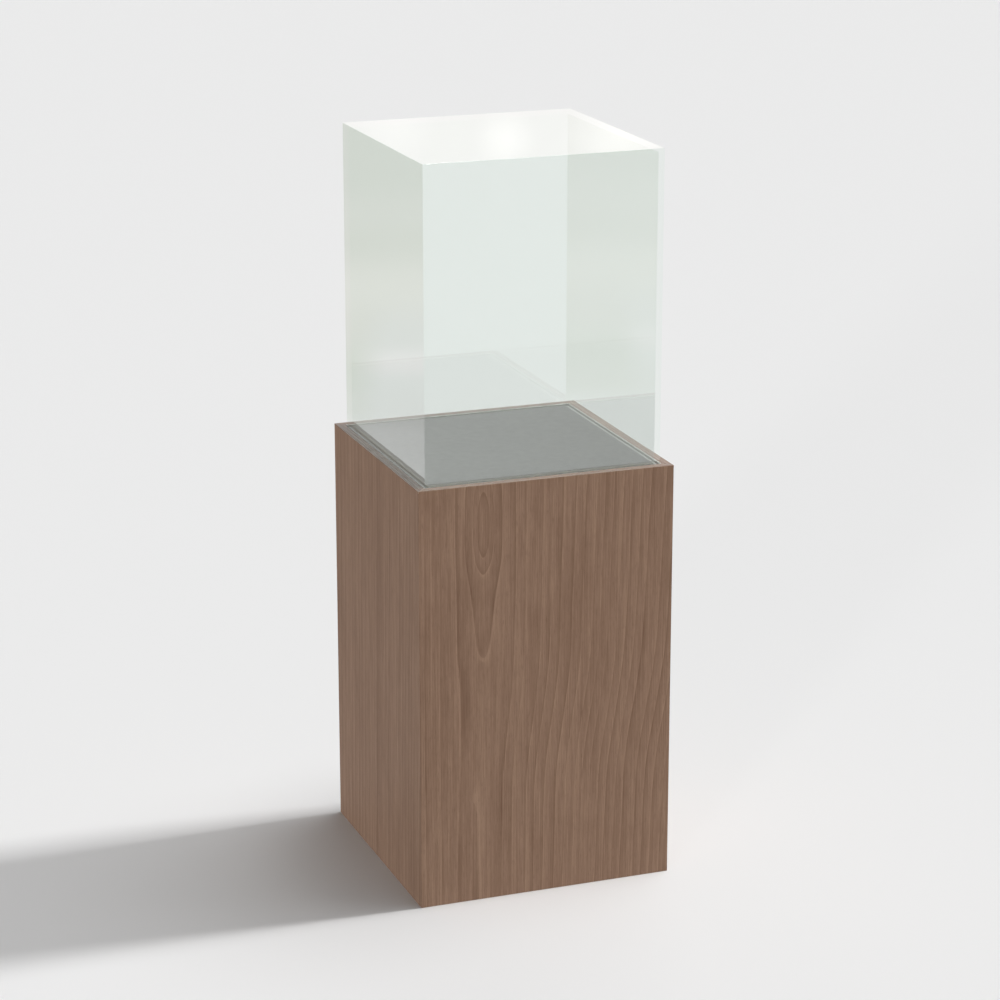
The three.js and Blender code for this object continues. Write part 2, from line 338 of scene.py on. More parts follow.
# For each board: the crown's place across it, how far the lines to its left and right drift on
# their way down, which ring is a darker streak, and the start of its texture.
veneer_figures = {
    "front": (-100, 0, -18, -1, 3.7),
    "right": (60, -6, 15, 9, 21.3),
    "back": (-30, 8, -12, 7, 47.9),
    "left": (250, -22, -14, 14, 11.1),
}


def box_of(lowest, highest):
    """A bmesh block between two corners."""
    shape = bmesh.new()
    bmesh.ops.create_cube(shape, size=1)
    bmesh.ops.scale(shape, vec=highest - lowest, verts=shape.verts)
    bmesh.ops.translate(shape, vec=(lowest + highest) / 2, verts=shape.verts)
    return shape


def mitred_block(lowest, highest, top_mitred=False):
    """A block with its outer face towards -Y, whose inner face is shorter by its thickness."""
    shape = box_of(lowest, highest)
    thickness = highest.y - lowest.y
    inner = [v for v in shape.verts if v.co.y > (lowest.y + highest.y) / 2]
    for v in inner:
        v.co.x -= math.copysign(thickness, v.co.x)
        if top_mitred and v.co.z > (lowest.z + highest.z) / 2:
            v.co.z -= thickness
    return shape


def edges_where(shape, test):
    """The edges of a bmesh whose two ends both pass a test of their place."""
    return [e for e in shape.edges if all(test(v.co) for v in e.verts)]


def reach(edge, axis):
    """How far an edge reaches along an axis: 0, 1 or 2 for X, Y or Z."""
    return abs(edge.verts[0].co[axis] - edge.verts[1].co[axis])


def ease(shape, edges, width, segments=2):
    """Takes the sharpness off some edges with a small round."""
    bmesh.ops.bevel(shape, geom=edges, offset=width, offset_type="OFFSET", segments=segments,
                    profile=0.5, affect="EDGES", material=-1)


def turn_to_side(shape, turn):
    """Turns a piece that was drawn as the front's into its own side's place."""
    bmesh.ops.rotate(shape, cent=(0, 0, 0), matrix=Matrix.Rotation(turn, 3, "Z"), verts=shape.verts)


def place_on_side(tree, where, turn):
    """Object coordinates turned so that every side is painted as the front is."""
    return add(tree, "Mapping", [("Vector", where), ("Rotation", (0, 0, -turn))]).outputs[0]


def noise(tree, place, scale, shift=0.0, detail=2.0, roughness=0.5):
    """Soft noise from 0 to 1. The scale is its waves a metre, if need be along X, Y and Z."""
    scale = (scale, scale, scale) if isinstance(scale, int) else scale
    scaled = add(tree, "Mapping", [
        ("Vector", place), ("Scale", scale), ("Location", (shift, shift, shift))]).outputs[0]
    made = add(tree, "TexNoise", [
        ("Vector", scaled), ("Scale", 1.0), ("Detail", detail), ("Roughness", roughness)])
    return made.outputs[0]


def layered_noise(tree, place, layers, shift, tone):
    """Adds layers of noise to a tone. Returns the tone, and the first layer by itself."""
    fields = []
    for scale, start, detail, roughness, weight in layers:
        fields.append(noise(tree, place, scale, shift + start, detail, roughness))
        centred = calculate(tree, "SUBTRACT", fields[-1], 0.5)
        tone = calculate(tree, "MULTIPLY_ADD", centred, weight, tone)
    return tone, fields[0]


def between(tree, share, low, high):
    """The value that lies a share of the way from one number to another."""
    return calculate(tree, "MULTIPLY_ADD", share, high - low, low)


def curve(tree, amount, points):
    """A smooth curve through points of (place, level), all between 0 and 1."""
    made = add(tree, "FloatCurve", [(1, amount)])
    line = made.mapping.curves[0]
    line.points[0].location = points[0]
    line.points[-1].location = points[-1]
    for point in points[1:-1]:
        line.points.new(*point)
    made.mapping.update()
    return made.outputs[0]


def growth_rings(tree, place, figure):
    """Which growth ring each point of the crown-cut veneer lies in, counted out from the crown."""
    centre, left_drift, right_drift, _, shift = figure
    height = crown_depth[-1][0]
    deepest = max(depth for _, depth in crown_depth)
    across, _, up = add(tree, "SeparateXYZ", [(0, place)]).outputs
    up_share = calculate(tree, "MULTIPLY", up, millimetres / height)
    fall = calculate(tree, "SUBTRACT", 1.0, up_share)
    slow_waves = noise(tree, place, wander_waves, shift, detail=1.5)
    wander = between(tree, slow_waves, -line_wander / 2, line_wander / 2)
    left_middle, right_middle = (
        faded(tree, up_share, start, end, centre, centre + drift)
        for drift, (start, end) in zip((left_drift, right_drift), drift_spans))
    across = calculate(tree, "MULTIPLY_ADD", across, millimetres, wander)
    to_right = calculate(tree, "GREATER_THAN", across, right_middle)
    left_offset = calculate(tree, "SUBTRACT", across, left_middle)
    right_offset = calculate(tree, "SUBTRACT", across, right_middle)
    crowding = calculate(tree, "MULTIPLY_ADD", fall, foot_crowding, 1.0)
    right_offset = calculate(tree, "MULTIPLY", right_offset, crowding)
    offset = add(tree, "Mix", [(0, to_right), (2, left_offset), (3, right_offset)]).outputs[0]
    depth_points = [(level / height, depth / deepest) for level, depth in crown_depth]
    depth = calculate(tree, "MULTIPLY", curve(tree, up_share, depth_points), deepest)
    aside = calculate(tree, "ABSOLUTE", offset)
    depth = calculate(tree, "MULTIPLY", depth, faded(tree, aside, *crown_fade, 1.0, 0.0))
    square = calculate(tree, "MULTIPLY", offset, offset)
    distance = calculate(tree, "SQRT", calculate(tree, "MULTIPLY_ADD", depth, depth, square))
    share = calculate(tree, "DIVIDE", distance, crown_reach)
    counts = []
    for edges in (crown_rings_left, crown_rings_right):
        most = len(edges)
        points = [(0, 0)] + [(edge / crown_reach, (i + 1) / most) for i, edge in enumerate(edges)]
        if edges[-1] < crown_reach:
            points.append((1, 1))
        counts.append(calculate(tree, "MULTIPLY", curve(tree, share, points), most))
    count = add(tree, "Mix", [(0, to_right), (2, counts[0]), (3, counts[1])]).outputs[0]
    return count, across, to_right


def surfaced(tree, colour, roughness, relief, strength, depth, others=()):
    """Ends a finish: its colour, its roughness, and the fine relief that the light picks out."""
    bump = add(tree, "Bump", [("Strength", strength), ("Distance", depth), ("Height", relief)])
    surface = add(tree, "BsdfPrincipled", [
        ("Base Color", colour), ("Roughness", roughness), ("Normal", bump.outputs[0]), *others])
    add(tree, "OutputMaterial", [(0, surface.outputs[0])])


def dented(tree, colour, roughness, dents, depth, shine=matt_shine):
    """Ends a finish that pores, fibres or scratches dent a little."""
    surfaced(tree, colour, roughness, dents, 0.35, depth, [("Specular IOR Level", shine)])


def with_pores(tree, place, wood, scale, shift, share, colour):
    """Darkens wood where its short open pores are. Returns its colour, and the pores."""
    pores = ramp(tree, noise(tree, place, scale, shift, detail=1.0), pore_shows)
    return mixed(tree, calculate(tree, "MULTIPLY", pores, share), wood, colour), pores


def walnut_veneer(side):
    """Crown-cut walnut: growth rings that darken to a sharp edge, fine fibres and short pores."""
    finish, tree, where = new_finish("walnut_veneer_" + side)
    place = place_on_side(tree, where, sides[side])
    *_, streak_ring, shift = veneer_figures[side]
    count, across, to_right = growth_rings(tree, place, veneer_figures[side])
    ring = calculate(tree, "FLOOR", count)
    within = calculate(tree, "FRACT", count)
    turned = calculate(tree, "GREATER_THAN", across, turned_beyond)
    turned = calculate(tree, "MULTIPLY", to_right, turned)
    outward = add(tree, "Mix", [
        (0, turned), (2, within), (3, calculate(tree, "SUBTRACT", 1.0, within))]).outputs[0]
    ring_tone = add(tree, "TexWhiteNoise", [("W", calculate(tree, "ADD", ring, shift))],
                    noise_dimensions="1D").outputs[0]
    late = ramp(tree, outward, late_wood)
    late = calculate(tree, "MULTIPLY", late, between(tree, ring_tone, palest_ring, darkest_ring))
    slow = noise(tree, place, late_waves, shift + 5, detail=1.0)
    late = calculate(tree, "MULTIPLY", late, ramp(tree, slow, late_shows))
    slow = noise(tree, place, early_waves, shift + 9)
    early = ramp(tree, outward, early_wood)
    early = calculate(tree, "MULTIPLY", early, ramp(tree, slow, early_shows))
    streak = calculate(tree, "COMPARE", ring, streak_ring, 0.5)
    streak = calculate(tree, "MULTIPLY", ramp(tree, outward, dark_streak), streak)
    late = calculate(tree, "MULTIPLY_ADD", streak, streak_weight, late)
    tone = calculate(tree, "MULTIPLY_ADD", late, late_weight, veneer_tone)
    tone = calculate(tree, "MULTIPLY_ADD", early, early_weight, tone)
    tone, fibres = layered_noise(tree, place, veneer_layers, shift, tone)
    wood = ramp(tree, tone, veneer_stops)
    wood, pores = with_pores(tree, place, wood, pore_waves, shift, pore_share, veneer_pore)
    dents = calculate(tree, "SUBTRACT", fibres, pores)
    dented(tree, wood, between(tree, fibres, *veneer_roughness), dents, depth=0.00012)
    return finish


def fibreboard():
    """The boards' cut edges: pressed brown fibre, a little patchy."""
    finish, tree, where = new_finish("fibreboard_edge")
    tone, fluff = layered_noise(tree, where, fibreboard_layers, 0, fibreboard_tone)
    colour = ramp(tree, tone, ((0.3, fibreboard_dark), (0.75, fibreboard_pale)))
    dented(tree, colour, 0.85, fluff, depth=0.0002)
    return finish


core_finish = fibreboard()
veneers = {}
lowest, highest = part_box("front_panel")
for side, turn in sides.items():
    board = mitred_block(lowest, highest)
    outer = edges_where(board, lambda place: place.y < lowest.y + hair)
    ease(board, [e for e in outer if reach(e, 0) < hair], board_arris)
    foot = edges_where(board, lambda place: place.z < hair)
    ease(board, [e for e in foot if reach(e, 1) < corner_reach], foot_arris)
    for veneer_line in (lowest.y + veneer_thickness, highest.y - veneer_thickness):
        bmesh.ops.bisect_plane(board, geom=board.verts[:] + board.edges[:] + board.faces[:],
                               plane_co=(0, veneer_line, 0), plane_no=(0, 1, 0), dist=hair / 10)
    for face in board.faces:
        middle = face.calc_center_median()
        in_core = lowest.y + veneer_thickness < middle.y < highest.y - veneer_thickness
        face.material_index = 1 if in_core else 0
    turn_to_side(board, turn)
    veneers[side] = walnut_veneer(side)
    made = set_down(side + "_board", board, veneers[side], core_finish)
    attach(made, "plinth")
    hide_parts(side + "_panel")

# Lippings: 3 mm strips of solid walnut glued on the boards' top edges and mitred at the corners.
# They make the ledge round the glass. The veneer runs up over their outer side. The side towards
# the glass is chamfered and painted a pale white that lifts the shade in the channel, so that no
# dark
# line shows there: painted light.
lipping_arris = 0.0005
channel_arris = 0.0011
# Painted light: a pale white that lifts the shade in the channel under the glass.
channel_lift_white = (0.80, 0.79, 0.76)
# Painted shade: the left strip is darker for the hood's shadow on it, and the front a little
# lighter.
lipping_painted_shade = {"front": 1.04, "right": 1.0, "back": 1.0, "left": 0.76}
lipping_stops = ((0.12, walnut_light), (0.46, walnut_middle), (0.84, walnut_dark))
lipping_pore = (0.085, 0.048, 0.031)
lipping_tone = 0.465
lipping_layers = (
    ((9, 900, 900), 0, 3.0, 0.6, 0.16),
    ((3.5, 160, 120), 0, 1.0, 0.5, 0.32),
    ((24, 60, 60), 4, 2.0, 0.5, 0.45),
)
# A face counts as square to a direction from this cosine on, and as sloping towards it from this.
square_on = 0.9
sloping = 0.3


def shaded(colour, share):
    """A colour made darker or lighter by one factor."""
    return tuple(part * share for part in colour)


def walnut_lipping(side):
    """Solid walnut, its grain along the strip, sealed with a glossier lacquer."""
    finish, tree, where = new_finish("walnut_lipping_" + side)
    place = place_on_side(tree, where, sides[side])
    *_, shift = veneer_figures[side]
    tone, fibres = layered_noise(tree, place, lipping_layers, shift, lipping_tone)
    # The strip's painted shade darkens or lightens its walnut here.
    wood = ramp(tree, tone, [
        (stop, shaded(colour, lipping_painted_shade[side])) for stop, colour in lipping_stops])
    wood, pores = with_pores(tree, place, wood, (90, 2100, 2100), shift, 0.2, lipping_pore)
    dents = calculate(tree, "SUBTRACT", fibres, pores)
    dented(tree, wood, between(tree, fibres, 0.22, 0.32), dents, depth=0.00001, shine=0.30)
    return finish


def marked(name, waves, dark, pale, roughness, depth, shine=matt_shine):
    """A finish whose fine marks show in its colour and in its relief, such as a brush's."""
    finish, tree, where = new_finish(name)
    marks = noise(tree, where, waves, detail=3.0)
    dented(tree, ramp(tree, marks, ((0.3, dark), (0.7, pale))), roughness, marks, depth, shine)
    return finish


# The channel's paint, pale to lift the shade in the channel: painted light.
pale_lift_paint_finish = marked("channel_pale_lift_paint", (300, 300, 900), shaded(channel_lift_white, 0.92),
                      shaded(channel_lift_white, 1.08), roughness=0.7, depth=0.00005)
lowest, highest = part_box("top_lipping_front")
for side, turn in sides.items():
    lipping = mitred_block(lowest, highest)
    top_edges = edges_where(lipping, lambda place: place.z > highest.z - hair)
    outer_edge = [e for e in top_edges if all(v.co.y < lowest.y + hair for v in e.verts)]
    inner_edge = [e for e in top_edges if all(v.co.y > highest.y - hair for v in e.verts)]
    ease(lipping, outer_edge, lipping_arris)
    ease(lipping, inner_edge, channel_arris, 1)
    for face in lipping.faces:
        inward = face.normal.y
        face.material_index = 1 if inward < -square_on else 2 if inward > sloping else 0
    turn_to_side(lipping, turn)
    made = set_down(side + "_lipping", lipping, walnut_lipping(side), veneers[side], pale_lift_paint_finish)
    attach(made, "plinth")
    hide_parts("top_lipping_" + side)

# Frame: planed softwood. A post stands in each corner, and battens run between the posts, one row
# on the base board and one under the deck. All are glued and pinned to the boards from inside.
planed_arris = 0.0012
spruce_early = (0.70, 0.50, 0.29)
spruce_middle = (0.64, 0.43, 0.23)
spruce_late = (0.50, 0.28, 0.12)
rings_a_metre = 420
ring_bend = 0.004


def softwood(name, grain, pith, shift):
    """Planed spruce. The growth rings go round a pith that lies outside the piece."""
    finish, tree, where = new_finish(name)
    across = [0 if axis == grain else 1 for axis in "XYZ"]
    bend_waves = [40 if crosses else 1.5 for crosses in across]
    fibre_waves = [900 if crosses else 14 for crosses in across]
    bends = noise(tree, where, bend_waves, shift, detail=1.0)
    section = add(tree, "VectorMath", [(0, where), (1, pith)], operation="SUBTRACT").outputs[0]
    section = add(tree, "VectorMath", [(0, section), (1, across)], operation="MULTIPLY").outputs[0]
    radius = add(tree, "VectorMath", [(0, section)], operation="LENGTH").outputs["Value"]
    radius = calculate(tree, "MULTIPLY_ADD", bends, ring_bend, radius)
    rings = calculate(tree, "FRACT", calculate(tree, "MULTIPLY", radius, rings_a_metre))
    fibres = noise(tree, where, fibre_waves, shift, detail=3.0, roughness=0.6)
    tone = calculate(tree, "MULTIPLY_ADD", fibres, 0.35, calculate(tree, "MULTIPLY", rings, 0.8))
    colour = ramp(tree, tone, (
        (0.25, spruce_early), (0.80, spruce_middle), (0.98, spruce_late)))
    dented(tree, colour, 0.75, fibres, depth=0.00015)
    return finish


corners = ("front_left", "front_right", "back_right", "back_left")
post_finish = softwood("spruce_upright", "Z", (0.03, -0.06, 0), 2.0)
for corner in corners:
    node = "corner_post_" + corner
    lowest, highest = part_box(node)
    post = box_of(lowest, highest)
    ease(post, post.edges[:], planed_arris)
    made = set_down("post_" + corner, post, post_finish)
    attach(made, "plinth")
    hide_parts(node)


weld = 0.000001


def turned_piece(outline, steps, centre=(0, 0, 0)):
    """Spins an outline of (radius, height) points round Z. It starts and ends on the axis."""
    shape = bmesh.new()
    points = [shape.verts.new((radius, 0, level)) for radius, level in outline]
    lines = [shape.edges.new(pair) for pair in zip(points, points[1:])]
    bmesh.ops.spin(shape, geom=points + lines, cent=(0, 0, 0), axis=(0, 0, 1), dvec=(0, 0, 0),
                   angle=2 * math.pi, steps=steps, use_merge=True)
    bmesh.ops.remove_doubles(shape, verts=shape.verts, dist=weld)
    bmesh.ops.recalc_face_normals(shape, faces=shape.faces)
    bmesh.ops.translate(shape, vec=centre, verts=shape.verts)
    return shape


def plain_rod(radius, low, high, steps, centre=(0, 0, 0)):
    """A plain round rod between two heights."""
    return turned_piece(((0, low), (radius, low), (radius, high), (0, high)), steps, centre)


def cut_away(shape, cutter):
    """Takes one closed bmesh out of another."""
    kept = set_down("kept", shape)
    taken = set_down("taken", cutter)
    cut = kept.modifiers.new("cut", "BOOLEAN")
    cut.operation = "DIFFERENCE"
    cut.solver = "EXACT"
    cut.object = taken
    bpy.context.view_layer.update()
    result = kept.evaluated_get(bpy.context.evaluated_depsgraph_get()).to_mesh()
    left = bmesh.new()
    left.from_mesh(result)
    for spent in (kept, taken):
        mesh = spent.data
        bpy.data.objects.remove(spent)
        bpy.data.meshes.remove(mesh)
    return left


pilot_radius = 0.0023
pilot_steps = 24
drill_overrun = 0.01
screw_spots = {}
for side in sides:
    for number in (1, 2):
        low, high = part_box(f"deck_screw_{side}_{number}")
        screw_spots[side, number] = Vector(((low.x + high.x) / 2, (low.y + high.y) / 2, low.z))
for side, turn in sides.items():
    grain = "X" if side in ("front", "back") else "Y"
    pith = (0, 0, 0.66) if grain == "X" else (0.01, 0, 0.68)
    *_, shift = veneer_figures[side]
    batten_finish = softwood("spruce_level_" + side, grain, pith, shift)
    for row in ("base_batten_", "deck_batten_"):
        lowest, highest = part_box(row + side)
        batten = box_of(lowest, highest)
        ease(batten, batten.edges[:], planed_arris)
        if row == "deck_batten_":
            for number in (1, 2):
                spot = screw_spots[side, number]
                drill = plain_rod(pilot_radius, lowest.z - drill_overrun,
                                  highest.z + drill_overrun, pilot_steps, (spot.x, spot.y, 0))
                batten = cut_away(batten, drill)
        made = set_down(row + side + "_planed", batten, batten_finish)
        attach(made, "plinth")
        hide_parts(row + side)

# Base board and deck board: 15 mm birch plywood, cut to drop between the plinth's boards. Both keep
# their plain drilled shape. The plies show on the cut edges and in the holes.
ply_thickness = 0.0015
sanded_off = 0.0002
birch_light = (0.66, 0.49, 0.31)
birch_middle = (0.56, 0.39, 0.23)
birch_dark = (0.47, 0.31, 0.17)
birch_tone = 0.6
birch_layers = (((12, 520, 520), 0, 3.0, 0.6, 0.4), ((2, 16, 16), 0, 2.0, 0.5, 0.8))


def plywood(name, node, shift):
    """Birch plywood: a sanded face ply with long grain, and plies of crossed grain at the edges."""
    finish, tree, where = new_finish(name)
    up = add(tree, "SeparateXYZ", [(0, where)]).outputs[2]
    height = calculate(tree, "SUBTRACT", up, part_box(node)[0].z - sanded_off)
    ply = calculate(tree, "FLOOR", calculate(tree, "DIVIDE", height, ply_thickness))
    crossed = calculate(tree, "MODULO", ply, 2.0)
    tone, fibres = layered_noise(tree, where, birch_layers, shift, birch_tone)
    face = ramp(tree, tone, ((0.35, birch_light), (0.80, birch_middle)))
    dented(tree, mixed(tree, crossed, face, birch_dark), 0.7, fibres, depth=0.0001)
    return finish


for node, shift in (("base_board", 1.0), ("deck_board", 6.0)):
    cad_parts[node].data.materials.clear()
    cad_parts[node].data.materials.append(plywood(node + "_birch", node, shift))

# Deck screws: zinc-plated 4 mm wood screws with a pan head and a cross recess. They go up through
# the deck battens and draw the deck board down on them.
screw_core_radius = 0.00135
screw_crest_radius = 0.002
screw_pitch = 0.0018
screw_thread_start = 0.012
screw_point_length = 0.005
screw_steps_per_turn = 16
screw_steps = 32
screw_neck_radius = 0.0019
screw_head_height = 0.0024
screw_point_share = 0.04
recess_width = 0.0008
recess_reach = 0.0021
recess_depth = 0.0013
recess_taper = (0.55, 0.7, 1)
zinc_clouds = (0.70, 0.70, 0.68)
# One thread's tooth: shares of the pitch, and of the way from the core to the crest.
tooth_outline = ((0.0, 0), (0.18, 0), (0.48, 1), (0.62, 1), (0.92, 0), (1.0, 0))
thread_weld = 0.002
turns_beyond = 2


def zinc_plating(name, tint):
    """Bright zinc: pale bluish steel with faint tumbling marks."""
    finish, tree, where = new_finish(name)
    clouds = noise(tree, where, 240, detail=3.0)
    marks = noise(tree, where, 2600)
    surfaced(tree, mixed(tree, clouds, tint, zinc_clouds), between(tree, marks, 0.20, 0.42),
             marks, strength=0.2, depth=0.00003, others=[("Metallic", 1.0)])
    return finish


def threaded_rod(core, crest, pitch, start, end, steps_per_turn):
    """A screw thread round Z: one turn of one tooth, repeated, and cut off at both heights."""
    one_turn = bmesh.new()
    first = (math.floor(start / pitch) - turns_beyond) * pitch
    points = [
        one_turn.verts.new((core + (crest - core) * rise, 0, first + share * pitch))
        for share, rise in tooth_outline]
    lines = [one_turn.edges.new(pair) for pair in zip(points, points[1:])]
    bmesh.ops.spin(one_turn, geom=points + lines, cent=(0, 0, 0), axis=(0, 0, 1),
                   dvec=(0, 0, pitch / steps_per_turn), angle=2 * math.pi, steps=steps_per_turn,
                   use_merge=False)
    mesh = bpy.data.meshes.new("turn")
    shape = bmesh.new()
    for _ in range(math.ceil((end - start) / pitch) + 2 * turns_beyond):
        one_turn.to_mesh(mesh)
        shape.from_mesh(mesh)
        bmesh.ops.translate(one_turn, vec=(0, 0, pitch), verts=one_turn.verts)
    one_turn.free()
    bpy.data.meshes.remove(mesh)
    bmesh.ops.remove_doubles(shape, verts=shape.verts, dist=pitch * thread_weld)
    for level, outward in ((start, -1), (end, 1)):
        bmesh.ops.bisect_plane(shape, geom=shape.verts[:] + shape.edges[:] + shape.faces[:],
                               plane_co=(0, 0, level), plane_no=(0, 0, outward), clear_outer=True)
        rim = [e for e in shape.edges if e.is_boundary and abs(e.verts[0].co.z - level) < weld]
        bmesh.ops.edgeloop_fill(shape, edges=rim)
    bmesh.ops.recalc_face_normals(shape, faces=shape.faces)
    return shape


def join_shapes(*shapes):
    """Puts several closed bmeshes into one piece."""
    whole = bmesh.new()
    for shape in shapes:
        mesh = bpy.data.meshes.new("joined")
        shape.to_mesh(mesh)
        shape.free()
        whole.from_mesh(mesh)
        bpy.data.meshes.remove(mesh)
    return whole


def deck_screw(head_radius, length):
    """A screw that stands on its head, as it goes in."""
    head = turned_piece((
        (0, 0), (0.0022, 0.0001), (0.0033, 0.0006), (0.0039, 0.0013), (head_radius, 0.0019),
        (head_radius - 0.0001, screw_head_height - 0.0001),
        (head_radius - 0.0003, screw_head_height), (screw_neck_radius, screw_head_height),
        (screw_neck_radius, screw_thread_start - 0.001),
        (screw_core_radius, screw_thread_start), (0, screw_thread_start)), screw_steps)
    for turn in (0, math.pi / 2):
        bar = box_of(Vector((-recess_reach, -recess_width / 2, -0.001)),
                     Vector((recess_reach, recess_width / 2, recess_depth)))
        deep_end = [v for v in bar.verts if v.co.z > 0]
        bmesh.ops.scale(bar, vec=recess_taper, verts=deep_end)
        turn_to_side(bar, turn)
        head = cut_away(head, bar)
    thread = threaded_rod(screw_core_radius, screw_crest_radius, screw_pitch,
                          screw_thread_start, length, screw_steps_per_turn)
    for v in thread.verts:
        left = (length - v.co.z) / screw_point_length
        if left < 1:
            v.co.x *= max(left, screw_point_share)
            v.co.y *= max(left, screw_point_share)
    return join_shapes(head, thread)


def moved_copy(shape, place):
    """A copy of a bmesh, moved from the origin to its place."""
    copy = shape.copy()
    bmesh.ops.translate(copy, vec=place, verts=copy.verts)
    return copy


screw_finish = zinc_plating("zinc_screw", (0.60, 0.63, 0.67))
low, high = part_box("deck_screw_front_1")
screw = deck_screw((high.x - low.x) / 2, high.z - low.z)
for (side, number), spot in screw_spots.items():
    made = set_down(f"pan_screw_{side}_{number}", moved_copy(screw, spot), screw_finish)
    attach(made, "plinth")
    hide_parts(f"deck_screw_{side}_{number}")

# Levelling feet: four moulded nylon pads on M8 studs. A spanner on each stud's collar screws it up
# or down in a flanged nut that is pressed into the base board from below.
stud_pitch = 0.00125
stud_core_radius = 0.0034
stud_crest_radius = 0.004
stud_neck_radius = 0.004
stud_tip_radius = 0.0028
stud_steps_per_turn = 20
stud_steps = 40
thread_room = 0.0001
collar_low = 0.0083
collar_high = 0.0133
collar_round = 0.0006
collar_arris = 0.0003
overlap = 0.0002
flange_thickness = 0.0015
sleeve_radius = 0.0052
notch_radius = 0.0014
notch_depth = 0.0007
notch_place = (0.0082, 0, 0)
notch_steps = 20
pad_steps = 64
gripping_rings = (0.004, 0.007, 0.010, 0.013)
groove_depth = 0.0008
socket_radius = 0.0046
socket_floor = 0.004
nylon_black = (0.020, 0.020, 0.021)
nylon_scuffed = (0.034, 0.034, 0.035)


def moulded_nylon():
    """Black nylon with the fine matt grain of its mould."""
    finish, tree, where = new_finish("moulded_nylon")
    grain = noise(tree, where, 1800)
    scuffs = noise(tree, where, 160, detail=3.0)
    colour = ramp(tree, scuffs, ((0.35, nylon_black), (0.70, nylon_scuffed)))
    surfaced(tree, colour, between(tree, scuffs, 0.42, 0.62), grain, strength=0.4, depth=0.00006)
    return finish


def foot_pad(radius, height):
    """A dished pad with a rounded rim, gripping rings underneath and a socket for its stud."""
    sole = [(0, groove_depth)]
    for ring in gripping_rings:
        sole += [(ring - 0.0009, groove_depth), (ring - 0.0006, 0), (ring + 0.0006, 0),
                 (ring + 0.0009, groove_depth)]
    return turned_piece(sole + [
        (radius - 0.0012, groove_depth), (radius - 0.0009, 0), (radius - 0.0006, 0),
        (radius - 0.00018, 0.0002), (radius, 0.0007), (radius, 0.0024), (radius - 0.0003, 0.0030),
        (radius - 0.0012, 0.0036), (0.0122, 0.0062), (0.0112, 0.0068), (0.0110, height - 0.0004),
        (0.0106, height), (socket_radius + 0.0004, height), (socket_radius, height - 0.0004),
        (socket_radius, socket_floor + 0.0002), (socket_radius - 0.0004, socket_floor),
        (0, socket_floor)], pad_steps)


def foot_stud(low, high):
    """A plain neck in the pad's socket, a six-sided collar, and the thread above it."""
    across_flats = min(high.x - low.x, high.y - low.y)
    foot = low.z
    top = high.z
    neck_high = collar_low + overlap
    neck = turned_piece((
        (0, foot), (stud_neck_radius - 0.0008, foot), (stud_neck_radius, foot + 0.0008),
        (stud_neck_radius, neck_high), (0, neck_high)), stud_steps)
    corner_radius = across_flats / 2 / math.cos(math.pi / 6)
    collar = bmesh.new()
    bmesh.ops.create_cone(collar, cap_ends=True, segments=6, radius1=corner_radius,
                          radius2=corner_radius, depth=collar_high - collar_low)
    turn_to_side(collar, math.pi / 6)
    bmesh.ops.translate(collar, vec=(0, 0, (collar_low + collar_high) / 2), verts=collar.verts)
    ease(collar, [e for e in collar.edges if reach(e, 2) > hair], collar_round)
    ease(collar, [e for e in collar.edges if reach(e, 2) < hair], collar_arris, 1)
    relief_high = collar_high + 0.0015
    relief = plain_rod(stud_core_radius, collar_high - overlap, relief_high, stud_steps)
    thread_low = collar_high + 0.0012
    thread_high = top - 0.0006
    thread = threaded_rod(stud_core_radius, stud_crest_radius, stud_pitch, thread_low,
                          thread_high, stud_steps_per_turn)
    tip_low = thread_high - overlap
    tip = turned_piece((
        (0, tip_low), (stud_core_radius, tip_low), (stud_core_radius, thread_high),
        (stud_tip_radius, top), (0, top)), stud_steps)
    return join_shapes(neck, collar, relief, thread, tip)


def foot_nut(low, high):
    """A round flange with four spanner notches, and a threaded sleeve let up into the board."""
    flange_radius = (high.x - low.x) / 2
    foot = low.z
    top = high.z
    flange_top = foot + flange_thickness
    body = turned_piece((
        (0, foot), (flange_radius - 0.0004, foot), (flange_radius, foot + 0.0004),
        (flange_radius, flange_top - 0.0003), (flange_radius - 0.0003, flange_top),
        (sleeve_radius, flange_top), (sleeve_radius, top - 0.0004),
        (sleeve_radius - 0.0003, top), (0, top)), pad_steps)
    for turn in sides.values():
        notch = plain_rod(notch_radius, foot - 0.001, foot + notch_depth, notch_steps,
                          notch_place)
        turn_to_side(notch, turn)
        body = cut_away(body, notch)
    bore = threaded_rod(stud_core_radius + thread_room, stud_crest_radius + thread_room,
                        stud_pitch, foot - 0.002, top + 0.002, stud_steps_per_turn)
    return cut_away(body, bore)


pad_finish = moulded_nylon()
stud_finish = zinc_plating("zinc_stud", (0.62, 0.64, 0.66))
nut_finish = zinc_plating("zinc_nut", (0.58, 0.60, 0.62))
low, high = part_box("foot_pad_front_left")
pad = foot_pad((high.x - low.x) / 2, high.z - low.z)
stud = foot_stud(*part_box("foot_stud_front_left"))
nut = foot_nut(*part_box("foot_nut_front_left"))
for corner in corners:
    low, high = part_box("foot_pad_" + corner)
    place = ((low.x + high.x) / 2, (low.y + high.y) / 2, 0)
    for piece, shape, finish, body, slot in (
            ("pad", pad, pad_finish, "foot_" + corner, "nylon"),
            ("stud", stud, stud_finish, "foot_" + corner, "zinc_steel"),
            ("nut", nut, nut_finish, "plinth", "zinc_steel")):
        made = set_down(piece + "_" + corner, moved_copy(shape, place), finish)
        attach(made, body)
        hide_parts(f"foot_{piece}_{corner}")

# Display panel: a 4 mm sheet of grey compact laminate glued on the deck board, level with the
# lippings. Its top is matt with a very fine grain. Its edges are chamfered down to the core, and
# its sides are painted like the lippings' sides towards the glass. The core's pale tone and the
# sides'
# white are painted light: they lift the shade beside the glass.
panel_arris = 0.0016
panel_grey = (0.418, 0.421, 0.415)
# Pale to lift the shade at the panel's edge beside the glass: painted light.
core_lift_pale = (0.72, 0.705, 0.68)


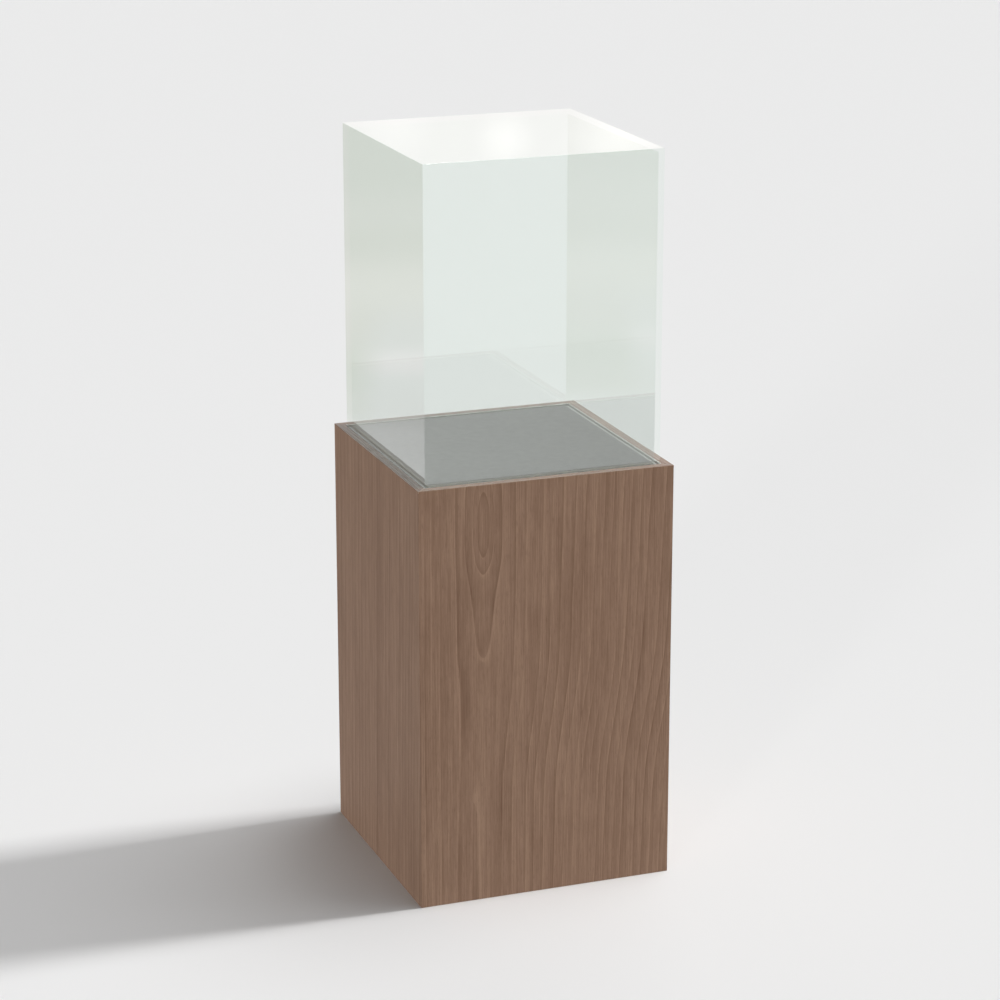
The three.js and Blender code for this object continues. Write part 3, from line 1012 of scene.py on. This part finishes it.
def matt_laminate(name, tint):
    """Matt laminate: a barely mottled colour and a fine pressed grain."""
    finish, tree, where = new_finish(name)
    mottle = noise(tree, where, 110, detail=3.0)
    grain = noise(tree, where, 1500)
    colour = ramp(tree, mottle, ((0.3, shaded(tint, 0.94)), (0.7, shaded(tint, 1.06))))
    surfaced(tree, colour, between(tree, grain, 0.55, 0.65), grain, strength=0.3, depth=0.00005)
    return finish


lowest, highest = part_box("display_panel")
panel = box_of(lowest, highest)
ease(panel, edges_where(panel, lambda place: place.z > highest.z - hair), panel_arris, 1)
for face in panel.faces:
    upward = abs(face.normal.z)
    face.material_index = 2 if upward < sloping else 1 if upward < square_on else 0
made = set_down("display_sheet", panel, matt_laminate("grey_laminate", panel_grey),
                matt_laminate("laminate_core", core_lift_pale), pale_lift_paint_finish)
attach(made, "plinth")
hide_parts("display_panel")

# Seat strips: closed-cell foam tape, mitred at the corners, on the floor of the channel that the
# hood stands in. The glass rests on it, so its top is flat and its edges are soft.
tape_round = 0.0003
foam_cells = 2600.0
foam_dark = (0.52, 0.53, 0.52)
foam_pale = (0.62, 0.63, 0.62)


def foam():
    """Grey closed-cell foam: a fine pattern of cells under a thin skin."""
    finish, tree, where = new_finish("grey_foam")
    cells = add(tree, "TexVoronoi", [("Vector", where), ("Scale", foam_cells)]).outputs["Distance"]
    shade = noise(tree, where, 300)
    tone = calculate(tree, "MULTIPLY", calculate(tree, "ADD", shade, cells), 0.5)
    colour = ramp(tree, tone, ((0.2, foam_dark), (0.8, foam_pale)))
    surfaced(tree, colour, 0.9, cells, strength=0.6, depth=0.0001)
    return finish


foam_finish = foam()
lowest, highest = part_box("seat_strip_front")
for side, turn in sides.items():
    strip = mitred_block(lowest, highest)
    ease(strip, edges_where(strip, lambda place: place.z > highest.z - hair), tape_round)
    turn_to_side(strip, turn)
    made = set_down("foam_tape_" + side, strip, foam_finish)
    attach(made, "plinth")
    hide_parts("seat_strip_" + side)

# Glass hood: five panes of 6.8 mm laminated glass, mitred and bonded with clear adhesive, so that
# no edge shows on any outer face. The arrises are polished, and the edges that it stands on are
# ground flat and satin. The faint green is the glass itself, whose faces mirror the room and floor.
glass_arris = 0.0005
glass_mirror_index = 1.7
glass_tint = (0.950, 0.985, 0.963)
glass_shadow = 0.32
bond_tint = (0.992, 0.997, 0.993)
bond_least_area = 0.0002
# The ground edges are pale to lift the shade in the channel under the glass: painted light.
ground_dark = (0.80, 0.82, 0.80)
ground_pale = (0.88, 0.90, 0.88)
# A face of a pane counts as flat from this cosine on, and as a mitre if it turns inward by more
# than this one.
flat_on = 0.99
turned_inward = 0.1


def clear_glass(name, tint, mirrors):
    """Clear glass that doesn't bend what is behind it. Only the face that is met first mirrors."""
    finish, tree, _ = new_finish(name)
    side_tint = tuple(math.sqrt(part) for part in tint)
    side_shadow = shaded(side_tint, math.sqrt(glass_shadow))
    ray = add(tree, "LightPath")
    colour = mixed(tree, ray.outputs["Is Shadow Ray"], side_tint, side_shadow)
    through = add(tree, "BsdfTransparent", [(0, colour)])
    if not mirrors:
        add(tree, "OutputMaterial", [(0, through.outputs[0])])
        return finish
    shine = add(tree, "BsdfAnisotropic", [("Color", (1, 1, 1, 1)), ("Roughness", 0.0)])
    single = add(tree, "Fresnel", [("IOR", glass_mirror_index)]).outputs[0]
    both_faces = calculate(tree, "DIVIDE", calculate(tree, "MULTIPLY", single, 2.0),
                           calculate(tree, "ADD", single, 1.0))
    first_face = calculate(tree, "SUBTRACT", 1.0, add(tree, "NewGeometry").outputs["Backfacing"])
    amount = calculate(tree, "MULTIPLY", both_faces, first_face)
    surface = add(tree, "MixShader", [
        (0, amount), (1, through.outputs[0]), (2, shine.outputs[0])])
    add(tree, "OutputMaterial", [(0, surface.outputs[0])])
    return finish


pane_finish = clear_glass("clear_glass", glass_tint, True)
bond_finish = clear_glass("bonded_mitre", bond_tint, False)
ground_finish = marked("ground_edge", 1500, ground_dark, ground_pale, roughness=0.25,
                       depth=0.00002, shine=0.5)


def finish_pane(name, shape, turn, inner_side):
    """Picks out the bonded mitres and the ground edge, then puts the pane in its place."""
    for face in shape.faces:
        flat = max(abs(part) for part in face.normal) > flat_on
        inward = face.normal.dot(inner_side) > turned_inward
        bonded = not flat and inward and face.calc_area() > bond_least_area
        resting = face.normal.z < -flat_on and inner_side.z == 0
        face.material_index = 1 if bonded else 2 if resting else 0
    turn_to_side(shape, turn)
    made = set_down(name + "_sheet", shape, pane_finish, bond_finish, ground_finish)
    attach(made, "hood")
    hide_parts(name)


lowest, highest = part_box("pane_front")
for side, turn in sides.items():
    pane = mitred_block(lowest, highest, top_mitred=True)
    ease(pane, edges_where(pane, lambda place: place.y < lowest.y + hair), glass_arris)
    finish_pane("pane_" + side, pane, turn, Vector((0, 1, 0)))

lowest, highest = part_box("pane_top")
thickness = highest.z - lowest.z
pane = box_of(lowest, highest)
for v in pane.verts:
    if v.co.z < (lowest.z + highest.z) / 2:
        v.co.x -= math.copysign(thickness, v.co.x)
        v.co.y -= math.copysign(thickness, v.co.y)
ease(pane, edges_where(pane, lambda place: place.z > highest.z - hair), glass_arris)
finish_pane("pane_top", pane, 0.0, Vector((0, 0, -1)))
